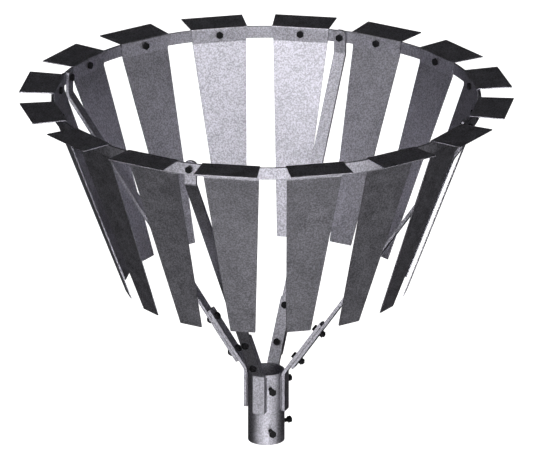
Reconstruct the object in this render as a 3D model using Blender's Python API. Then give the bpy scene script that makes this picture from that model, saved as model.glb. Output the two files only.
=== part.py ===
"""Vertical axis turbine rotor, as separate parts.

Sixteen folded sheet vanes are bolted inside a rolled hoop. Four arms carry the hoop, each made of a
bent flat-bar strap that is bolted to a bent flat-bar bracket on the hub tube. Four set screws in
the hub tube clamp it on a shaft.

Metres, +Z up. The origin is on the turning axis, at the bottom rim of the hub tube. A station angle
turns about +Z from -Y towards +X, and a part is drawn in its station's frame: X points outwards
along the radius, Y runs along the hoop and Z is up.
"""
import math

import bmesh
import bpy
from mathutils import Matrix

# Clearances
SEAT_GAP = 0.0003          # between two faces that are clamped or welded together
HOLE_PLAY = 0.0005         # round a bolt in its hole, on the radius
HOLE_CUT_SHARE = 3         # length of the cutter for a hole, of the wall it goes through

# Hoop, a flat band rolled to a ring
HOOP_OUTER_RADIUS = 0.517
HOOP_THICKNESS = 0.005
HOOP_HEIGHT = 0.030
HOOP_EDGE = 0.0006         # chamfer along its edges
HOOP_TOP = 0.879           # its top edge above the bottom of the hub

# Vanes, each a tapered sheet with two folds
VANE_COUNT = 16
VANE_THICKNESS = 0.0025
VANE_SLOT = 0.0630         # between two vanes, taken at the hoop's inner face
VANE_TIP_WIDTH = 0.0605
VANE_TAB_REACH = 0.0735    # how far the top tab stands out past the hoop
VANE_FOLD_DROP = 0.0045    # from the hoop's bottom edge down to the lower fold
VANE_BLADE_LENGTH = 0.4759
VANE_LEAN = math.radians(20.4)
VANE_TAB_BEND = 0.0010     # inner radius of the fold over the hoop
VANE_LEAN_BEND = 0.0050    # inner radius of the fold that starts the blade
VANE_CORNER = 0.0020       # rounding of its four corners

# Hub tube
HUB_OUTER_RADIUS = 0.04445
HUB_WALL = 0.0050
HUB_LENGTH = 0.180
HUB_EDGE = 0.0006          # chamfer along its rims

# Arms, flat bar: a bracket on the hub and a strap up to the hoop
ARM_COUNT = 4
FIRST_ARM_SLOT = -1        # the first arm stands one slot before the slot at -Y
BAR_WIDTH = 0.030
BAR_THICKNESS = 0.008
BAR_BEND = 0.008           # inner radius of a bend
BAR_CORNER = 0.0030        # rounding of a cut end's corners
BRACKET_LEG = 0.098        # from its bend down along the tube
STRAP_RISE = 0.0036        # how far the strap's top stands above the hoop
STRAP_TOP_CORNER = 0.0100  # the strap's top end is rounder
STRAP_FOLD_DROP = 0.0260   # from the hoop's bottom edge down to the strap's bend
SPLICE_START = 0.0502      # from the bracket's bend to the first splice bolt
SPLICE_PITCH = 0.0935
BRACKET_END = 0.023        # past the second splice bolt
STRAP_END = 0.026          # past the first splice bolt

# Fasteners, M10
BOLT_RADIUS = 0.0050
HEX_WIDTH = 0.0160         # across the flats
HEAD_HEIGHT = 0.0064
NUT_HEIGHT = 0.0084
THREAD_PROUD = 0.0030      # bolt end past its nut
HEX_FACE_SHARE = 0.95      # width of the round face inside a hexagon's chamfer, of the flats' width
HEX_RIM_SHARE = 0.1        # depth of the chamfer at the flats, of its depth at the corners

# Set screws in the hub
SET_SCREW_SPREAD = math.radians(56.25)     # either side of the second arm
SET_SCREW_INSET = 0.0363   # from each end of the tube
SET_SCREW_STANDOFF = 0.0210                # bare thread between the head and the tube
SET_SCREW_LENGTH = 0.0300
SET_SCREW_POINT = 0.0012   # chamfer on its end

# Facets
HOOP_SIDES = 128
HUB_SIDES = 48
HOLE_SIDES = 16
HEX_POINTS = 12
BEND_STEPS = 4
CORNER_STEPS = 2
SHARP_ANGLE = math.radians(30)            # faces that meet at more than this look sharp

# Places that follow from the sizes above
HOOP_INNER_RADIUS = HOOP_OUTER_RADIUS - HOOP_THICKNESS
HOOP_BOTTOM = HOOP_TOP - HOOP_HEIGHT
HOOP_BOLT_Z = HOOP_TOP - HOOP_HEIGHT / 2
VANE_STEP = 2 * math.pi / VANE_COUNT
ARM_STEP = 2 * math.pi / ARM_COUNT
HOLE_RADIUS = (BOLT_RADIUS + HOLE_PLAY) / math.cos(math.pi / HOLE_SIDES)
NUT_SEAT = HOOP_OUTER_RADIUS + SEAT_GAP


def inside_hoop(half_width):
    """Radius of the outer face of a flat piece that lies inside the hoop with its edges near it."""
    facet_radius = HOOP_INNER_RADIUS * math.cos(math.pi / HOOP_SIDES)
    return math.sqrt(facet_radius ** 2 - half_width ** 2) - SEAT_GAP


# Scene and materials ----------------------------------------------------------------------------

def clear_scene():
    for item in list(bpy.data.objects):
        bpy.data.objects.remove(item, do_unlink=True)


def principled(name, colour, metallic, roughness):
    material = bpy.data.materials.new(name)
    material.use_nodes = True
    shader = material.node_tree.nodes["Principled BSDF"]
    shader.inputs["Base Color"].default_value = (*colour, 1.0)
    shader.inputs["Metallic"].default_value = metallic
    shader.inputs["Roughness"].default_value = roughness
    return material


def station(name, angle):
    """An empty on the turning axis whose X axis points out along the station's radius."""
    empty = bpy.data.objects.new(name, None)
    empty.rotation_euler = (0.0, 0.0, angle - math.pi / 2)
    bpy.context.scene.collection.objects.link(empty)
    return empty


def place(name, mesh, material, parent=None, location=(0.0, 0.0, 0.0), tilt=0.0):
    """A named part. tilt turns it about its station's Y axis, from outwards to downwards."""
    part = bpy.data.objects.new(name, mesh)
    part.parent = parent
    part.location = location
    part.rotation_euler = (0.0, tilt, 0.0)
    if not mesh.materials:
        mesh.materials.append(material)
    bpy.context.scene.collection.objects.link(part)
    return part


# Meshes -----------------------------------------------------------------------------------------

def finished(name, mesh_builder):
    """A mesh datablock with smooth round faces and sharp edges."""
    bmesh.ops.recalc_face_normals(mesh_builder, faces=mesh_builder.faces)
    mesh = bpy.data.meshes.new(name)
    mesh_builder.to_mesh(mesh)
    mesh_builder.free()
    mesh.shade_smooth()
    mesh.set_sharp_from_angle(angle=SHARP_ANGLE)
    return mesh


def skin_loops(name, loops, closed=False):
    """A solid over rings of equally many points. closed joins the last ring to the first."""
    builder = bmesh.new()
    rings = [[builder.verts.new(point) for point in loop] for loop in loops]
    pairs = list(zip(rings, rings[1:]))
    if closed:
        pairs.append((rings[-1], rings[0]))
    else:
        builder.faces.new(rings[0])
        builder.faces.new(rings[-1])
    for first, second in pairs:
        for here in range(len(first)):
            after = (here + 1) % len(first)
            builder.faces.new((first[here], first[after], second[after], second[here]))
    return finished(name, builder)


def circle(radius, sides, height):
    """Points round +Z at a height."""
    turns = [2 * math.pi * index / sides for index in range(sides)]
    return [(radius * math.cos(turn), radius * math.sin(turn), height) for turn in turns]


def ring_mesh(name, outer, inner, bottom, top, sides, edge):
    """An open tube or hoop about Z, with a chamfer along its four edges."""
    profile = [
        (outer, bottom + edge), (outer, top - edge),
        (outer - edge, top), (inner + edge, top),
        (inner, top - edge), (inner, bottom + edge),
        (inner + edge, bottom), (outer - edge, bottom),
    ]
    loops = [circle(radius, sides, height) for radius, height in profile]
    return skin_loops(name, loops, closed=True)


def cylinder_along_x(builder, radius, length, transform):
    """A cutter about its own X axis, centred on its origin."""
    matrix = transform @ Matrix.Rotation(math.pi / 2, 4, "Y")
    bmesh.ops.create_cone(
        builder, cap_ends=True, segments=HOLE_SIDES, radius1=radius, radius2=radius,
        depth=length, matrix=matrix)


def with_holes(mesh, transforms, depth):
    """The mesh with a bolt hole through it along the X axis of each transform."""
    builder = bmesh.new()
    for transform in transforms:
        cylinder_along_x(builder, HOLE_RADIUS, depth, transform)
    cutter = bpy.data.objects.new("cutter", finished("cutter", builder))
    blank = bpy.data.objects.new("blank", mesh)
    for item in (cutter, blank):
        bpy.context.scene.collection.objects.link(item)
    cut = blank.modifiers.new("holes", "BOOLEAN")
    cut.operation = "DIFFERENCE"
    cut.solver = "EXACT"
    cut.object = cutter
    graph = bpy.context.evaluated_depsgraph_get()
    drilled = bpy.data.meshes.new_from_object(blank.evaluated_get(graph))
    drilled.name = mesh.name
    for item in (cutter, blank):
        bpy.data.objects.remove(item, do_unlink=True)
    drilled.set_sharp_from_angle(angle=SHARP_ANGLE)
    return drilled


# Folded strips ----------------------------------------------------------------------------------

def walk(start, heading, moves, distance):
    """Point and heading at a distance along a path of (length, turn) moves in the X-Z plane."""
    x, z = start
    for length, turn in moves:
        step = min(distance, length)
        if turn:
            radius = length / turn
            bent = heading + turn * step / length
            x += radius * (math.sin(bent) - math.sin(heading))
            z -= radius * (math.cos(bent) - math.cos(heading))
            heading = bent
        else:
            x += step * math.cos(heading)
            z += step * math.sin(heading)
        distance -= step
    return x, z, heading


def bend(inner_radius, thickness, turn):
    """A (length, turn) move along the middle of a sheet or bar."""
    return (inner_radius + thickness / 2) * abs(turn), turn


def path_samples(moves, corners):
    """Distances at the ends of each move, through each bend and round both ends' corners."""
    total = sum(length for length, _ in moves)
    samples = {0.0, total}
    travelled = 0.0
    for length, turn in moves:
        steps = BEND_STEPS if turn else 1
        samples.update(travelled + length * step / steps for step in range(steps))
        travelled += length
    for step in range(1, CORNER_STEPS + 1):
        share = 1 - math.cos(math.pi / 2 * step / CORNER_STEPS)
        samples.add(corners[0] * share)
        samples.add(total - corners[1] * share)
    return sorted(samples)


def corner_loss(distance, radius):
    """How much narrower a rounded end is on each side, at a distance from it."""
    if distance >= radius:
        return 0.0
    return radius - math.sqrt(max(radius ** 2 - (radius - distance) ** 2, 0.0))


def folded_strip(name, start, heading, moves, thickness, half_width, corners):
    """A strip folded along its path. half_width gives its half width at a distance along it."""
    total = sum(length for length, _ in moves)
    loops = []
    for distance in path_samples(moves, corners):
        x, z, direction = walk(start, heading, moves, distance)
        side = half_width(distance)
        side -= corner_loss(distance, corners[0]) + corner_loss(total - distance, corners[1])
        off_x = -math.sin(direction) * thickness / 2
        off_z = math.cos(direction) * thickness / 2
        loops.append([
            (x + off_x, -side, z + off_z),
            (x + off_x, side, z + off_z),
            (x - off_x, side, z - off_z),
            (x - off_x, -side, z - off_z),
        ])
    return skin_loops(name, loops)


# Vanes ------------------------------------------------------------------------------------------

def vane_fold_half_width():
    """Half the width of a vane at its top fold, which leaves VANE_SLOT between two vanes."""
    return HOOP_INNER_RADIUS * math.tan(VANE_STEP / 2) - VANE_SLOT / 2 / math.cos(VANE_STEP / 2)


def vane_face_radius():
    """Radius of the outer face of a vane's upright part."""
    return inside_hoop(vane_fold_half_width())


def vane_mesh():
    middle_radius = vane_face_radius() - VANE_THICKNESS / 2
    tab_middle_z = HOOP_TOP + SEAT_GAP + VANE_THICKNESS / 2
    tab_edge = HOOP_OUTER_RADIUS + VANE_TAB_REACH
    tab_fold = bend(VANE_TAB_BEND, VANE_THICKNESS, math.pi / 2)
    lean_fold = bend(VANE_LEAN_BEND, VANE_THICKNESS, -VANE_LEAN)
    tab_fold_radius = VANE_TAB_BEND + VANE_THICKNESS / 2
    lean_fold_reach = (VANE_LEAN_BEND + VANE_THICKNESS / 2) * math.tan(VANE_LEAN / 2)
    tab_run = tab_edge - middle_radius - tab_fold_radius
    fold_z = HOOP_BOTTOM - VANE_FOLD_DROP
    upright_run = tab_middle_z - tab_fold_radius - fold_z - lean_fold_reach
    blade_run = VANE_BLADE_LENGTH - lean_fold_reach
    moves = [(tab_run, 0.0), tab_fold, (upright_run, 0.0), lean_fold, (blade_run, 0.0)]
    total = sum(length for length, _ in moves)
    fold_half = vane_fold_half_width()
    taper = (fold_half - VANE_TIP_WIDTH / 2) / (total - tab_run)

    def half_width(distance):
        return fold_half + taper * (tab_run - distance)

    blank = folded_strip("vane", (tab_edge, tab_middle_z), math.pi, moves, VANE_THICKNESS,
                         half_width, (VANE_CORNER, VANE_CORNER))
    hole = Matrix.Translation((middle_radius, 0.0, HOOP_BOLT_Z))
    return with_holes(blank, [hole], HOLE_CUT_SHARE * VANE_THICKNESS)


# Hoop -------------------------------------------------------------------------------------------

def hoop_mesh():
    blank = ring_mesh("hoop", HOOP_OUTER_RADIUS, HOOP_INNER_RADIUS, HOOP_BOTTOM, HOOP_TOP,
                      HOOP_SIDES, HOOP_EDGE)
    angles = [vane_angle(index) for index in range(VANE_COUNT)]
    angles += [arm_angle(index) for index in range(ARM_COUNT)]
    middle_radius = (HOOP_OUTER_RADIUS + HOOP_INNER_RADIUS) / 2
    place_hole = Matrix.Translation((middle_radius, 0.0, HOOP_BOLT_Z))
    holes = [Matrix.Rotation(angle - math.pi / 2, 4, "Z") @ place_hole for angle in angles]
    return with_holes(blank, holes, HOLE_CUT_SHARE * HOOP_THICKNESS)


def vane_angle(index):
    return VANE_STEP * (index + 0.5)


def arm_angle(index):
    """Arms stand in slots between vanes, so that no vane is in their way."""
    return ARM_STEP * index + VANE_STEP * FIRST_ARM_SLOT


# Hub tube ---------------------------------------------------------------------------------------

def set_screw_places():
    """Angle and height of each set screw."""
    second_arm = arm_angle(1)
    angles = (second_arm - SET_SCREW_SPREAD, second_arm + SET_SCREW_SPREAD)
    heights = (SET_SCREW_INSET, HUB_LENGTH - SET_SCREW_INSET)
    return [(angle, height) for angle in angles for height in heights]


def hub_mesh():
    blank = ring_mesh("hub_tube", HUB_OUTER_RADIUS, HUB_OUTER_RADIUS - HUB_WALL, 0.0, HUB_LENGTH,
                      HUB_SIDES, HUB_EDGE)
    wall_middle = HUB_OUTER_RADIUS - HUB_WALL / 2
    holes = []
    for angle, height in set_screw_places():
        turn = Matrix.Rotation(angle - math.pi / 2, 4, "Z")
        holes.append(turn @ Matrix.Translation((wall_middle, 0.0, height)))
    return with_holes(blank, holes, HOLE_CUT_SHARE * HUB_WALL)


# Arms -------------------------------------------------------------------------------------------

class ArmLine:
    """The side view of one arm: where its two bars bend, and how steeply they slope between."""

    def __init__(self):
        self.bracket_x = HUB_OUTER_RADIUS + SEAT_GAP + BAR_THICKNESS / 2
        self.bracket_z = HUB_LENGTH
        self.strap_x = inside_hoop(BAR_WIDTH / 2) - BAR_THICKNESS / 2
        self.strap_z = HOOP_BOTTOM - STRAP_FOLD_DROP
        across = self.strap_x - self.bracket_x
        up = self.strap_z - self.bracket_z
        self.bar_offset = BAR_THICKNESS + SEAT_GAP
        shift = math.asin(self.bar_offset / math.hypot(across, up))
        self.slope = math.atan2(across, up) - shift
        self.bend_reach = (BAR_BEND + BAR_THICKNESS / 2) * math.tan(self.slope / 2)
        along = across * math.sin(self.slope) + up * math.cos(self.slope)
        self.strap_run = along - SPLICE_START + STRAP_END

    def on_bracket(self, along, outwards):
        """A point on the slope, along the bracket from its bend and square off its middle."""
        x = self.bracket_x + along * math.sin(self.slope) + outwards * math.cos(self.slope)
        z = self.bracket_z + along * math.cos(self.slope) - outwards * math.sin(self.slope)
        return x, z

    def splice_hole(self, along, outwards):
        x, z = self.on_bracket(along, outwards)
        return Matrix.Translation((x, 0.0, z)) @ Matrix.Rotation(self.slope, 4, "Y")


def splice_distances():
    return SPLICE_START, SPLICE_START + SPLICE_PITCH


def bar_half_width(_distance):
    return BAR_WIDTH / 2


def bracket_mesh(arm):
    moves = [
        (BRACKET_LEG - arm.bend_reach, 0.0),
        bend(BAR_BEND, BAR_THICKNESS, -arm.slope),
        (splice_distances()[1] + BRACKET_END - arm.bend_reach, 0.0),
    ]
    start = (arm.bracket_x, arm.bracket_z - BRACKET_LEG)
    blank = folded_strip("hub_bracket", start, math.pi / 2, moves, BAR_THICKNESS,
                         bar_half_width, (BAR_CORNER, BAR_CORNER))
    holes = [arm.splice_hole(along, 0.0) for along in splice_distances()]
    return with_holes(blank, holes, HOLE_CUT_SHARE * BAR_THICKNESS)


def strap_mesh(arm):
    top = HOOP_TOP + STRAP_RISE
    moves = [
        (top - arm.strap_z - arm.bend_reach, 0.0),
        bend(BAR_BEND, BAR_THICKNESS, -arm.slope),
        (arm.strap_run - arm.bend_reach, 0.0),
    ]
    blank = folded_strip("arm_strap", (arm.strap_x, top), -math.pi / 2, moves, BAR_THICKNESS,
                         bar_half_width, (STRAP_TOP_CORNER, BAR_CORNER))
    holes = [arm.splice_hole(along, arm.bar_offset) for along in splice_distances()]
    holes.append(Matrix.Translation((arm.strap_x, 0.0, HOOP_BOLT_Z)))
    return with_holes(blank, holes, HOLE_CUT_SHARE * BAR_THICKNESS)


# Fasteners --------------------------------------------------------------------------------------

def across_x(points):
    """Turns points round +Z into points round +X."""
    return [(z, x, y) for x, y, z in points]


def round_loop(radius, x):
    return across_x(circle(radius, HEX_POINTS, x))


def hex_loop(x, cut=0.0):
    """A hexagon at x, corner upwards, whose corners are set back by cut for the chamfer."""
    points = []
    for index in range(HEX_POINTS):
        turn = 2 * math.pi * index / HEX_POINTS
        on_corner = index % 2 == 1
        radius = HEX_WIDTH / 2 / (math.cos(math.pi / 6) if on_corner else 1.0)
        height = x + (cut if on_corner else 0.0)
        points.append((radius * math.cos(turn), radius * math.sin(turn), height))
    return across_x(points)


def corner_cut():
    """Depth of a 30 degree chamfer at a hexagon's corners."""
    corner_reach = HEX_WIDTH / 2 / math.cos(math.pi / 6) - HEX_WIDTH / 2
    return corner_reach * math.tan(math.pi / 6)


def head_loops():
    """A hexagon head whose seat is at x = 0 and whose top is at -HEAD_HEIGHT."""
    return [
        round_loop(HEX_WIDTH / 2 * HEX_FACE_SHARE, -HEAD_HEIGHT),
        hex_loop(-HEAD_HEIGHT + corner_cut() * HEX_RIM_SHARE, corner_cut()),
        hex_loop(0.0),
        round_loop(BOLT_RADIUS, 0.0),
    ]


def bolt_mesh(name, grip):
    """A bolt along +X with its nut: the head's seat is at x = 0 and the nut's seat at x = grip."""
    nut_end = grip + NUT_HEIGHT
    loops = head_loops() + [
        round_loop(BOLT_RADIUS, grip),
        hex_loop(grip),
        hex_loop(nut_end - corner_cut() * HEX_RIM_SHARE, -corner_cut()),
        round_loop(HEX_WIDTH / 2 * HEX_FACE_SHARE, nut_end),
        round_loop(BOLT_RADIUS, nut_end),
        round_loop(BOLT_RADIUS, nut_end + THREAD_PROUD),
    ]
    return skin_loops(name, loops)


def set_screw_mesh():
    loops = head_loops() + [
        round_loop(BOLT_RADIUS, SET_SCREW_LENGTH - SET_SCREW_POINT),
        round_loop(BOLT_RADIUS - SET_SCREW_POINT, SET_SCREW_LENGTH),
    ]
    return skin_loops("set_screw", loops)


# Assembly ---------------------------------------------------------------------------------------

def build_vanes(sheet, black):
    mesh = vane_mesh()
    head_seat = vane_face_radius() - VANE_THICKNESS - SEAT_GAP
    bolt = bolt_mesh("vane_bolt", NUT_SEAT - head_seat)
    for index in range(VANE_COUNT):
        number = f"{index + 1:02d}"
        here = station(f"vane_station_{number}", vane_angle(index))
        place(f"vane_{number}", mesh, sheet, here)
        place(f"vane_bolt_{number}", bolt, black, here, (head_seat, 0.0, HOOP_BOLT_Z))


def build_arms(bar, black):
    arm = ArmLine()
    bracket = bracket_mesh(arm)
    strap = strap_mesh(arm)
    hoop_seat = arm.strap_x - BAR_THICKNESS / 2 - SEAT_GAP
    hoop_bolt = bolt_mesh("arm_bolt", NUT_SEAT - hoop_seat)
    splice_bolt = bolt_mesh("splice_bolt", 2 * BAR_THICKNESS + 3 * SEAT_GAP)
    for index in range(ARM_COUNT):
        number = index + 1
        here = station(f"arm_station_{number}", arm_angle(index))
        place(f"hub_bracket_{number}", bracket, bar, here)
        place(f"arm_strap_{number}", strap, bar, here)
        place(f"arm_bolt_{number}", hoop_bolt, black, here, (hoop_seat, 0.0, HOOP_BOLT_Z))
        for level, along in zip(("lower", "upper"), splice_distances()):
            x, z = arm.on_bracket(along, -BAR_THICKNESS / 2 - SEAT_GAP)
            place(f"splice_bolt_{level}_{number}", splice_bolt, black, here, (x, 0.0, z), arm.slope)


def build_set_screws(black):
    """Each screw points inwards, so its mesh is turned to face the axis."""
    mesh = set_screw_mesh()
    seat = HUB_OUTER_RADIUS + SET_SCREW_STANDOFF
    for index, (angle, height) in enumerate(set_screw_places()):
        number = index + 1
        here = station(f"set_screw_station_{number}", angle)
        place(f"set_screw_{number}", mesh, black, here, (seat, 0.0, height), math.pi)


def main():
    clear_scene()
    sheet = principled("grey_sheet_steel", (0.52, 0.52, 0.54), 0.85, 0.48)
    bar = principled("grey_bar_steel", (0.46, 0.46, 0.48), 0.85, 0.45)
    black = principled("black_oxide_steel", (0.035, 0.035, 0.038), 0.80, 0.42)
    place("hub_tube", hub_mesh(), bar)
    place("hoop", hoop_mesh(), bar)
    build_vanes(sheet, black)
    build_arms(bar, black)
    build_set_screws(black)


main()
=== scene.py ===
"""Looks of the vertical axis turbine rotor.

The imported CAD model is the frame. Vanes, hoop, hub tube, straps and brackets keep their CAD shapes
and get rounded edges and steel materials. Bolts and set screws are replaced by detailed ones, and
weld beads are added along the bracket legs. Metres, +Z up, in the CAD frame.
"""
import math

import bmesh
import bpy
from mathutils import Matrix, Vector


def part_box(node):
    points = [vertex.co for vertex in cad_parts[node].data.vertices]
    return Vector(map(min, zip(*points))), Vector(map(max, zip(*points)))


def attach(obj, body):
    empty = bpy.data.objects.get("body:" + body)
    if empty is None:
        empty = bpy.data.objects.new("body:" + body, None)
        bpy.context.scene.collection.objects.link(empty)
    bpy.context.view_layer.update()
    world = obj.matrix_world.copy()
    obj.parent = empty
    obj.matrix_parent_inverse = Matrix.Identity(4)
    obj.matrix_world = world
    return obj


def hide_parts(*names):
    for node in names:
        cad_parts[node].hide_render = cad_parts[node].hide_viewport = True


# Camera, a very long lens far away, so that the view is all but parallel
VIEW_AZIMUTH = -1.8
VIEW_ELEVATION = 19.75
VIEW_TARGET = Vector((0.0005, 0.0, 0.5330))
VIEW_WIDTH = 1.2840           # of the frame at the target
SENSOR_WIDTH = 36.0
LENS = 1200.0

# Light. Each lamp is a sun: azimuth, elevation, strength, and the angle that it fills as seen from
# the rotor. Angles are in degrees, and a strength is how bright a white matt surface gets facing it
LAMPS = {
    "key": (VIEW_AZIMUTH, 19.5, 0.83, 76.0),
    "upper_left": (-43.0, 44.0, 0.105, 24.0),
    "upper_right": (40.0, 44.0, 0.045, 24.0),
    "low_front": (0.0, -22.0, 0.215, 60.0),
    "low_left": (-50.0, -22.0, 0.090, 30.0),
    "low_right": (50.0, -22.0, 0.105, 30.0),
    "rear": (180.0, -7.0, 0.80, 20.0),
}
AMBIENT = 0.35                 # strength of the world for the rays that don't see the white set
NET_SHARE = 0.001              # how much of the white set the metal sees past the net
NET_RADIUS = 2.2
NET_CENTRE_Z = 0.45
FLOOR_Z = -3.2
FLOOR_HALF_SIZE = 60.0
FLOOR_COLOUR = (0.85, 0.85, 0.85, 1.0)
FLOOR_GLOW = 0.7               # for the rays that see the white set
WHITE = (1.0, 1.0, 1.0, 1.0)

# Steel. A noise has its scale in cells to the metre, its detail and its roughness
STEEL_TINT = (0.496, 0.486, 0.544)
BAR_SHADE = 0.97               # of the sheet's colour
PAINTED_SHADE_SHARE = 0.42              # painted shade of the rounded edges and the darker welds, of the sheet's colour likewise
BLACK_OXIDE = (0.006, 0.0057, 0.0066)
GRAIN_SCALE = 260.0
WELD_GRAIN_SCALE = 500.0
GRAIN_FORM = (2.0, 0.60)       # the grain's detail and roughness
PATCHES = (34.0, 4.0, 0.60)
CLOUDS = (6.0, 2.0, 0.50)
STAINS = (11.0, 5.0, 0.62)
STREAKS = (420.0, 2.0, 0.50)
STREAK_SQUEEZE = 0.035         # of that scale along Z, which draws the streaks out
GRAIN_RANGE = (0.40, 0.60)     # the noise values between which an effect builds up
PATCH_RANGE = (0.30, 0.70)
CLOUD_RANGE = (0.35, 0.65)
STAIN_RANGE = (0.60, 0.72)
STREAK_RANGE = (0.68, 0.74)
ROUGHNESS_RANGE = (0.30, 0.70)
TONE_SHARES = (0.66, 0.22, 0.12)         # of grain, patches and clouds
ROUGHNESS_SHARES = (0.6, 0.4)            # of patches and grain
HEIGHT_SHARES = (0.6, 0.4)               # of grain and streaks
ROUGHNESS_BELOW = 0.05         # how far it runs below and above a material's own
ROUGHNESS_ABOVE = 0.06
STAIN_SHARE = 0.30             # how much of its colour a stain adds at most, and a scratch
STAIN_SHADE = 0.62             # of the steel's colour
SCRATCH_SHARE = 0.22
BUMP_STRENGTH = 0.6

# Fasteners, M10
BOLT_RADIUS = 0.0050
THREAD_PITCH = 0.0015
THREAD_DEPTH = 0.00085
THREAD_FLAT = 0.12             # crest and root flats, of half a pitch
THREAD_STEPS = 8               # rings to a turn of the thread
END_CHAMFER = 0.0010
HEX_WIDTH = 0.0160             # across the flats
HEX_CORNER_SHARE = 1.13        # corner radius, of the flats' radius
HEX_FACE_RADIUS = 0.0076       # of the round face inside a hexagon's chamfer, and the washer face
HEAD_HEIGHT = 0.0064
DISH_DEPTH = 0.0003            # of the shallow dish in a head's top
DISH_FLOOR_SHARE = 0.6         # radii of the dish's floor and of its rim, of the round face's
DISH_RIM_SHARE = 0.94
NUT_HEIGHT = 0.0084
NUT_PLAY = 0.00005
NUT_MOUTH = 0.0005             # chamfer of a nut's bore
WASHER_FACE = 0.0004
THREAD_PROUD = 0.0030          # bolt end past its nut
ROUND_SIDES = 48
SMOOTH_ANGLE = 28.0            # a sharper edge than this stays sharp
SAME_PLANE = 0.00002

# Rounded edges of the CAD nodes
SHEET_EDGE = 0.0004
BAR_EDGE = 0.0007
EDGE_ANGLE = 40.0              # an edge that bends more than this is rounded
MERGE_DISTANCE = 0.00001

# Welds
WELD_RADIUS = 0.0023
WELD_PITCH = 0.0030
WELD_STEP = 0.0005
WELD_SIDES = 16
WELD_RIPPLE = 0.14             # depth of the ripples, of the bead's radius
WELD_RIPPLE_BOW = 0.4          # how far a ripple's crown lies below its sides, of the pitch
WELD_END_SIZE = 0.15           # area of a bead's blunt ends, of its full section
WELD_REACH = 0.3               # from the leg's side to the bead's axis, of the bead's radius
WELD_INSET = 0.0030            # from each end of the leg to the bead's end


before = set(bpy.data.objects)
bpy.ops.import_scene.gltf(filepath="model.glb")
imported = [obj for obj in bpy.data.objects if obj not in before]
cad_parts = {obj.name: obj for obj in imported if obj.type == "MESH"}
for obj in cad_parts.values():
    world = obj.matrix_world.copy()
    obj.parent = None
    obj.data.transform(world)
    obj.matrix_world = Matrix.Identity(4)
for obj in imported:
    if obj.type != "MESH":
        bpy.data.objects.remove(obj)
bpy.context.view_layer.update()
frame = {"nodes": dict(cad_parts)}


# Helpers ----------------------------------------------------------------------------------------

def back_direction(azimuth, elevation):
    """Unit vector from the rotor towards a viewer or lamp at that azimuth and elevation in degrees."""
    turn, rise = math.radians(azimuth), math.radians(elevation)
    return Vector((math.sin(turn) * math.cos(rise), -math.cos(turn) * math.cos(rise), math.sin(rise)))


def add_object(name, data):
    obj = bpy.data.objects.new(name, data)
    bpy.context.scene.collection.objects.link(obj)
    return obj


def node_points(name):
    """The places of a CAD node's corners, each once."""
    vertices = frame["nodes"][name].data.vertices
    places = {tuple(round(part, 6) for part in vertex.co) for vertex in vertices}
    return [Vector(place) for place in places]


def is_fastener(name):
    return "_bolt_" in name or name.startswith("set_screw_")


def shade(colour, share):
    return tuple(part * share for part in colour)


# Camera -----------------------------------------------------------------------------------------

def make_camera():
    data = bpy.data.cameras.new("camera")
    data.sensor_width = SENSOR_WIDTH
    data.lens = LENS
    camera = add_object("camera", data)
    back = back_direction(VIEW_AZIMUTH, VIEW_ELEVATION)
    distance = VIEW_WIDTH * LENS / SENSOR_WIDTH
    camera.location = VIEW_TARGET + back * distance
    camera.rotation_mode = "QUATERNION"
    camera.rotation_quaternion = (-back).to_track_quat("-Z", "Y")
    data.clip_start = 1.0
    data.clip_end = 2 * distance
    bpy.context.scene.camera = camera


# Node helpers -----------------------------------------------------------------------------------

class Nodes:
    """Adds nodes to a material or world and links them up."""

    def __init__(self, tree):
        self.tree = tree

    def add(self, kind, inputs=None, **settings):
        node = self.tree.nodes.new(kind)
        for key, value in settings.items():
            setattr(node, key, value)
        for key, value in (inputs or {}).items():
            if isinstance(value, bpy.types.NodeSocket):
                self.tree.links.new(value, node.inputs[key])
            else:
                node.inputs[key].default_value = value
        return node

    def math(self, operation, first, second=0.0):
        return self.add("ShaderNodeMath", {0: first, 1: second}, operation=operation).outputs[0]

    def weighted(self, values, shares):
        """The sum of each value times its share."""
        total = None
        for value, share in zip(values, shares):
            part = self.math("MULTIPLY", value, share)
            total = part if total is None else self.math("ADD", total, part)
        return total

    def noise(self, vector, scale, detail, roughness):
        node = self.add("ShaderNodeTexNoise", {"Vector": vector, "Scale": scale, "Detail": detail,
                                               "Roughness": roughness})
        return node.outputs["Fac"]

    def span(self, value, low, high, out_low=0.0, out_high=1.0):
        """value from low to high, remapped to out_low to out_high and clamped."""
        node = self.add("ShaderNodeMapRange", {"Value": value, "From Min": low, "From Max": high,
                                               "To Min": out_low, "To Max": out_high})
        return node.outputs["Result"]

    def mix(self, share, first, second):
        """The first colour blended into the second. Each is a node's output, or three numbers."""
        first, second = ((*colour, 1.0) if isinstance(colour, tuple) else colour
                         for colour in (first, second))
        return self.add("ShaderNodeMix", {0: share, 6: first, 7: second}, data_type="RGBA").outputs[2]

    def drawn_out(self, vector, squeeze):
        """The vector with Z scaled by squeeze, which draws a noise out along Z."""
        return self.add("ShaderNodeMapping", {"Vector": vector, "Scale": (1.0, 1.0, squeeze)}).outputs[0]


def new_material(name):
    """A material with an empty node tree, and what adds nodes to it."""
    material = bpy.data.materials.new(name)
    material.use_nodes = True
    material.node_tree.nodes.clear()
    return material, Nodes(material.node_tree)


# Materials --------------------------------------------------------------------------------------

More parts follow.
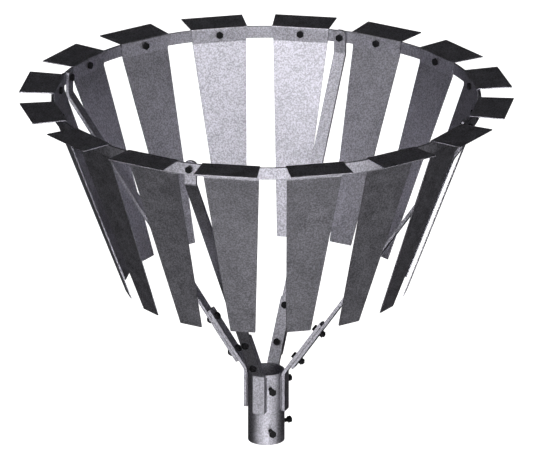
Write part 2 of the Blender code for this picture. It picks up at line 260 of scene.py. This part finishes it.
def steel(name, colour, roughness, mottle, metallic=1.0, grain_scale=GRAIN_SCALE, bump=0.00006,
          gloss_tint=0.05):
    """Steel with mill mottle, fine grain, faint stains and scratches.

    bump is the height of the grain. gloss_tint, where low, dims the gloss: near grazing angles on
    metal, and seen straight on where metallic is 0.
    """
    material, nodes = new_material(name)
    shader = nodes.add("ShaderNodeBsdfPrincipled", distribution="GGX")
    nodes.add("ShaderNodeOutputMaterial", {"Surface": shader.outputs[0]})
    place = nodes.add("ShaderNodeTexCoord").outputs["Object"]
    grain = nodes.noise(place, grain_scale, *GRAIN_FORM)
    patches = nodes.noise(place, *PATCHES)
    clouds = nodes.noise(place, *CLOUDS)
    streaks = nodes.noise(nodes.drawn_out(place, STREAK_SQUEEZE), *STREAKS)
    stains = nodes.noise(place, *STAINS)

    tone = nodes.weighted((nodes.span(grain, *GRAIN_RANGE), nodes.span(patches, *PATCH_RANGE),
                           nodes.span(clouds, *CLOUD_RANGE)), TONE_SHARES)
    light = shade(colour, 1 + mottle)
    base = nodes.mix(tone, shade(colour, 1 - mottle), light)
    stained = nodes.span(stains, *STAIN_RANGE, 0.0, STAIN_SHARE)
    base = nodes.mix(stained, base, shade(colour, STAIN_SHADE))
    scratches = nodes.math("MULTIPLY", nodes.span(streaks, *STREAK_RANGE), SCRATCH_SHARE)
    base = nodes.mix(scratches, base, light)
    nodes.tree.links.new(base, shader.inputs["Base Color"])

    rough = nodes.weighted((patches, grain), ROUGHNESS_SHARES)
    rough = nodes.span(rough, *ROUGHNESS_RANGE, roughness - ROUGHNESS_BELOW, roughness + ROUGHNESS_ABOVE)
    nodes.tree.links.new(rough, shader.inputs["Roughness"])
    shader.inputs["Metallic"].default_value = metallic
    shader.inputs["Specular Tint"].default_value = (gloss_tint, gloss_tint, gloss_tint, 1.0)

    height = nodes.weighted((grain, streaks), HEIGHT_SHARES)
    lumps = nodes.add("ShaderNodeBump", {"Height": height, "Strength": BUMP_STRENGTH, "Distance": bump})
    nodes.tree.links.new(lumps.outputs[0], shader.inputs["Normal"])
    return material


def make_materials():
    bar = shade(STEEL_TINT, BAR_SHADE)
    painted_shade = shade(STEEL_TINT, PAINTED_SHADE_SHARE)
    return {
        "vane": steel("vane_sheet_steel", STEEL_TINT, roughness=0.46, mottle=0.42),
        "bar": steel("bar_steel", bar, roughness=0.46, mottle=0.40, bump=0.00009),
        "hub": steel("hub_tube_steel", bar, roughness=0.46, mottle=0.36),
        # Painted shade: the rounded edges of the CAD nodes get this dark steel, which stands in for the
        # shade along them
        "painted_shade_edge": steel("painted_shade_steel_edge", painted_shade, roughness=0.45, mottle=0.10),
        # Weld beads are real; their dark colour also paints the shade line along each bracket leg's edge
        "weld": steel("weld_bead_painted_shade_steel", painted_shade, roughness=0.50, mottle=0.35,
                      grain_scale=WELD_GRAIN_SCALE),
        "black": steel("black_oxide_steel", BLACK_OXIDE, roughness=0.50, mottle=0.35, metallic=0.0,
                       bump=0.00003, gloss_tint=0.25),
    }


# CAD nodes that stay ----------------------------------------------------------------------------

def finish_node(obj, material, edge_material, width):
    """Rounds a CAD node's sharp edges and gives it its materials. Its own mesh stays as it is."""
    obj.data.materials.clear()
    obj.data.materials.append(material)
    obj.data.materials.append(edge_material)
    weld = obj.modifiers.new("weld", "WELD")
    weld.merge_threshold = MERGE_DISTANCE
    bevel = obj.modifiers.new("bevel", "BEVEL")
    bevel.width = width
    bevel.segments = 2
    bevel.limit_method = "ANGLE"
    bevel.angle_limit = math.radians(EDGE_ANGLE)
    bevel.material = 1         # the edge material's slot, whose dark colour paints shade along the rounded edges
    smooth = obj.modifiers.new("normals", "WEIGHTED_NORMAL")
    smooth.weight = 100


def finish_cad(materials):
    """Edges and materials of all CAD nodes but the fasteners, which are replaced."""
    for name, obj in frame["nodes"].items():
        if is_fastener(name):
            continue
        if name.startswith("vane_"):
            finish_node(obj, materials["vane"], materials["painted_shade_edge"], SHEET_EDGE)
        elif name == "hub_tube":
            finish_node(obj, materials["hub"], materials["painted_shade_edge"], SHEET_EDGE)
        elif name == "hoop":
            finish_node(obj, materials["bar"], materials["painted_shade_edge"], SHEET_EDGE)
        else:
            finish_node(obj, materials["bar"], materials["painted_shade_edge"], BAR_EDGE)


# Fasteners --------------------------------------------------------------------------------------

def hex_radius(turn):
    """Distance from a hexagon's centre to its side, with its corners a little rounded off."""
    off_flat = (turn + math.pi / 6) % (math.pi / 3) - math.pi / 6
    return min(HEX_WIDTH / 2 / math.cos(off_flat), HEX_WIDTH / 2 * HEX_CORNER_SHARE)


def turned(radius_at, x_at):
    """A loop of points round +X. radius_at and x_at give its radius and its x at each angle."""
    loop = []
    for index in range(ROUND_SIDES):
        turn = 2 * math.pi * index / ROUND_SIDES
        radius = radius_at(turn)
        loop.append((x_at(turn), radius * math.cos(turn), radius * math.sin(turn)))
    return loop


def round_loop(radius, x):
    """A circle of that radius at x."""
    return turned(lambda turn: radius, lambda turn: x)


def hex_loop(x, chamfer=0):
    """A hexagon at x. chamfer is 1 or -1 where a cone cuts its corners back towards +X or -X."""
    def height(turn):
        return x + chamfer * (hex_radius(turn) - HEX_FACE_RADIUS) * math.tan(math.pi / 6)
    return turned(hex_radius, height)


def thread_loops(start, end):
    """Rings along a helical thread, which deepens over its first turn and has a chamfered end."""
    loops = []
    steps = round((end - start) / THREAD_PITCH * THREAD_STEPS)
    for step in range(steps + 1):
        x = start + (end - start) * step / steps
        lead_in = min((x - start) / THREAD_PITCH, 1.0)
        chamfer = max(x - end + END_CHAMFER, 0.0)

        def radius(turn, x=x, lead_in=lead_in, chamfer=chamfer):
            phase = (x / THREAD_PITCH - turn / (2 * math.pi)) % 1.0
            slope = min(max((abs(2 * phase - 1) - THREAD_FLAT) / (1 - 2 * THREAD_FLAT), 0.0), 1.0)
            return BOLT_RADIUS - max(THREAD_DEPTH * slope * lead_in, chamfer)

        loops.append(turned(radius, lambda turn, x=x: x))
    return loops


def skin(builder, loops, closed=False):
    """Adds the surface over rings of equally many points. closed joins the last ring to the first."""
    rings = [[builder.verts.new(point) for point in loop] for loop in loops]
    pairs = list(zip(rings, rings[1:]))
    if closed:
        pairs.append((rings[-1], rings[0]))
    else:
        builder.faces.new(rings[0])
        builder.faces.new(rings[-1])
    for first, second in pairs:
        for here in range(len(first)):
            after = (here + 1) % len(first)
            builder.faces.new((first[here], first[after], second[after], second[here]))


def finished(name, builder, material):
    """The builder's surface as a smooth-shaded mesh with that material."""
    bmesh.ops.recalc_face_normals(builder, faces=builder.faces)
    mesh = bpy.data.meshes.new(name)
    builder.to_mesh(mesh)
    builder.free()
    mesh.shade_smooth()
    mesh.set_sharp_from_angle(angle=math.radians(SMOOTH_ANGLE))
    mesh.materials.append(material)
    return mesh


def head_loops():
    """A hexagon head on a round washer face, whose seat is at x = 0."""
    return [
        round_loop(HEX_FACE_RADIUS * DISH_FLOOR_SHARE, -HEAD_HEIGHT + DISH_DEPTH),
        round_loop(HEX_FACE_RADIUS * DISH_RIM_SHARE, -HEAD_HEIGHT),
        round_loop(HEX_FACE_RADIUS, -HEAD_HEIGHT),
        hex_loop(-HEAD_HEIGHT, 1),
        hex_loop(-WASHER_FACE),
        round_loop(HEX_FACE_RADIUS, -WASHER_FACE),
        round_loop(HEX_FACE_RADIUS, 0.0),
        round_loop(BOLT_RADIUS, 0.0),
    ]


def nut_loops(seat):
    """A nut from its seat at that x on, round a plain bore."""
    end = seat + NUT_HEIGHT
    bore = BOLT_RADIUS + NUT_PLAY
    return [
        round_loop(bore, seat + NUT_MOUTH),
        round_loop(bore + NUT_MOUTH, seat),
        round_loop(HEX_FACE_RADIUS, seat),
        hex_loop(seat, 1),
        hex_loop(end, -1),
        round_loop(HEX_FACE_RADIUS, end),
        round_loop(bore + NUT_MOUTH, end),
        round_loop(bore, end - NUT_MOUTH),
    ]


def bolt_mesh(name, grip, material):
    """A bolt along +X with its nut: the head's seat is at x = 0 and the nut's seat at x = grip."""
    builder = bmesh.new()
    end = grip + NUT_HEIGHT + THREAD_PROUD
    skin(builder, head_loops() + thread_loops(grip + NUT_HEIGHT / 2, end))
    skin(builder, nut_loops(grip), closed=True)
    return finished(name, builder, material)


def set_screw_mesh(name, length, material):
    """A set screw along +X, whose head's seat is at x = 0 and whose end is at x = length."""
    builder = bmesh.new()
    skin(builder, head_loops() + thread_loops(THREAD_PITCH, length))
    return finished(name, builder, material)


def fastener_place(name):
    """A CAD fastener's place, with +X from head to thread and the head's seat at 0, and its length.

    The flat sides that add up to the most area are square to its axis, and its head is the wider end.
    """
    sides = {}
    for face in frame["nodes"][name].data.polygons:
        key = tuple(round(part, 1) for part in face.normal)
        sides[key] = sides.get(key, Vector()) + face.normal * face.area
    axis = max(sides.values(), key=lambda side: side.length).normalized()
    points = node_points(name)
    ends = []
    for sign in (1, -1):
        reach = max(sign * axis.dot(point) for point in points)
        ring = [point for point in points if sign * axis.dot(point) > reach - SAME_PLANE]
        middle = sum(ring, Vector()) / len(ring)
        ends.append((max((point - middle).length for point in ring), middle))
    thread_end, head_end = (middle for _, middle in sorted(ends, key=lambda end: end[0]))
    axis = (thread_end - head_end).normalized()
    side = Vector((0.0, 0.0, 1.0)).cross(axis).normalized()
    up = axis.cross(side)
    turn = Matrix((axis, side, up)).transposed().to_4x4()
    return Matrix.Translation(head_end + axis * HEAD_HEIGHT) @ turn, (thread_end - head_end).length


def fastener_mesh(kind, length, material):
    """The mesh of one kind of fastener. length runs from the head's top to the thread's end."""
    if kind == "set_screw":
        return set_screw_mesh(kind, length - HEAD_HEIGHT, material)
    return bolt_mesh(kind, length - HEAD_HEIGHT - NUT_HEIGHT - THREAD_PROUD, material)


def make_fasteners(material):
    """A detailed bolt and nut, or set screw, in the place of each plain CAD one."""
    meshes = {}
    for name in filter(is_fastener, frame["nodes"]):
        screw = name.startswith("set_screw_")
        kind = "set_screw" if screw else name.split("_bolt_")[0] + "_bolt"
        matrix, length = fastener_place(name)
        if kind not in meshes:
            meshes[kind] = fastener_mesh(kind, length, material)
        piece = add_object(name + "_detailed", meshes[kind])
        piece.matrix_world = matrix
        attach(piece, name if screw else "rotor")
        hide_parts(name)


# Welds ------------------------------------------------------------------------------------------

def bead_mesh(name, length, material):
    """A weld bead along +Z with ripples like laid coins."""
    builder = bmesh.new()
    loops = []
    steps = round(length / WELD_STEP)
    for step in range(steps + 1):
        z = length * step / steps
        taper = math.sqrt(min(min(z, length - z) / WELD_RADIUS + WELD_END_SIZE, 1.0))
        loop = []
        for index in range(WELD_SIDES):
            turn = 2 * math.pi * index / WELD_SIDES
            ripple = abs(math.sin(math.pi * (z / WELD_PITCH + WELD_RIPPLE_BOW * math.cos(turn))))
            radius = WELD_RADIUS * taper * (1 - WELD_RIPPLE + WELD_RIPPLE * ripple)
            loop.append((radius * math.cos(turn), radius * math.sin(turn), z))
        loops.append(loop)
    skin(builder, loops)
    return finished(name, builder, material)


def make_welds(material):
    """Two beads on each hub bracket, where its leg's long edges meet the tube."""
    tube_low, tube_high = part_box("hub_tube")
    tube_radius = (tube_high[0] - tube_low[0]) / 2
    mesh = None
    for name in frame["nodes"]:
        if not name.startswith("hub_bracket_"):
            continue
        points = node_points(name)
        middle = sum(points, Vector()) / len(points)
        out = Vector((middle.x, middle.y, 0.0)).normalized()
        side = Vector((0.0, 0.0, 1.0)).cross(out)
        half_width = max(abs(side.dot(point)) for point in points)
        leg_face = min(out.dot(point) for point in points)
        bottom = min(point.z for point in points) + WELD_INSET
        if mesh is None:
            mesh = bead_mesh("weld_bead", tube_high[2] - 2 * WELD_INSET - bottom, material)
        across = half_width + WELD_RADIUS * WELD_REACH
        tube_face = math.sqrt(tube_radius ** 2 - across ** 2)
        for label, sign in (("left", -1), ("right", 1)):
            bead = add_object(f"{name}_weld_{label}", mesh)
            spot = out * (tube_face + leg_face) / 2 + side * sign * across
            turn = Matrix.Rotation(math.atan2(out.y, out.x), 4, "Z")
            bead.matrix_world = Matrix.Translation((spot.x, spot.y, bottom)) @ turn
            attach(bead, "rotor")


# Lights and set ---------------------------------------------------------------------------------

def add_sun(name, azimuth, elevation, strength, angle):
    data = bpy.data.lights.new(name, "SUN")
    data.energy = math.pi * strength
    data.angle = math.radians(angle)
    data.cycles.use_multiple_importance_sampling = False   # or the net would dim the lamp too
    lamp = add_object(name, data)
    lamp.rotation_mode = "QUATERNION"
    lamp.rotation_quaternion = back_direction(azimuth, elevation).to_track_quat("Z", "Y")


def sees_set(nodes):
    """1 for the rays that see the white set: camera, glossy and transmission rays."""
    path = nodes.add("ShaderNodeLightPath").outputs
    seen = nodes.math("MAXIMUM", path["Is Camera Ray"], path["Is Glossy Ray"])
    return nodes.math("MAXIMUM", seen, path["Is Transmission Ray"])


def make_world():
    world = bpy.data.worlds.new("studio")
    bpy.context.scene.world = world
    world.use_nodes = True
    world.node_tree.nodes.clear()
    nodes = Nodes(world.node_tree)
    strength = nodes.span(sees_set(nodes), 0.0, 1.0, AMBIENT, 1.0)
    light = nodes.add("ShaderNodeBackground", {"Strength": strength, "Color": WHITE})
    nodes.add("ShaderNodeOutputWorld", {"Surface": light.outputs[0]})
    world.cycles.sampling_method = "NONE"


def make_floor():
    half = FLOOR_HALF_SIZE
    corners = [(x, y, FLOOR_Z) for x, y in ((-half, -half), (half, -half), (half, half), (-half, half))]
    mesh = bpy.data.meshes.new("floor")
    mesh.from_pydata(corners, [], [(0, 1, 2, 3)])
    material, nodes = new_material("pale_floor")
    diffuse = nodes.add("ShaderNodeBsdfDiffuse", {"Color": FLOOR_COLOUR})
    strength = nodes.math("MULTIPLY", sees_set(nodes), FLOOR_GLOW)
    glow = nodes.add("ShaderNodeEmission", {"Color": WHITE, "Strength": strength})
    both = nodes.add("ShaderNodeAddShader", {0: diffuse.outputs[0], 1: glow.outputs[0]})
    nodes.add("ShaderNodeOutputMaterial", {"Surface": both.outputs[0]})
    mesh.materials.append(material)
    floor = add_object("floor", mesh)
    floor.visible_shadow = False   # the low lamps shine up through it


def make_net():
    """A dark net round the rotor, met by glossy rays alone, that dims the white set in the metal."""
    builder = bmesh.new()
    bmesh.ops.create_icosphere(builder, subdivisions=4, radius=NET_RADIUS)
    mesh = bpy.data.meshes.new("net")
    builder.to_mesh(mesh)
    builder.free()
    material, nodes = new_material("dark_net")
    share = (NET_SHARE, NET_SHARE, NET_SHARE, 1.0)
    cloth = nodes.add("ShaderNodeBsdfTransparent", {"Color": share})
    nodes.add("ShaderNodeOutputMaterial", {"Surface": cloth.outputs[0]})
    mesh.materials.append(material)
    net = add_object("net", mesh)
    net.location = (0.0, 0.0, NET_CENTRE_Z)
    net.visible_camera = False
    net.visible_diffuse = False
    net.visible_transmission = False
    net.visible_shadow = False
    net.visible_volume_scatter = False


def make_lights():
    for name, lamp in LAMPS.items():
        add_sun(name, *lamp)


def main():
    bpy.context.scene.view_settings.view_transform = "Standard"
    make_camera()
    make_world()
    make_floor()
    make_net()
    make_lights()
    materials = make_materials()
    finish_cad(materials)
    make_fasteners(materials["black"])
    make_welds(materials["weld"])


main()
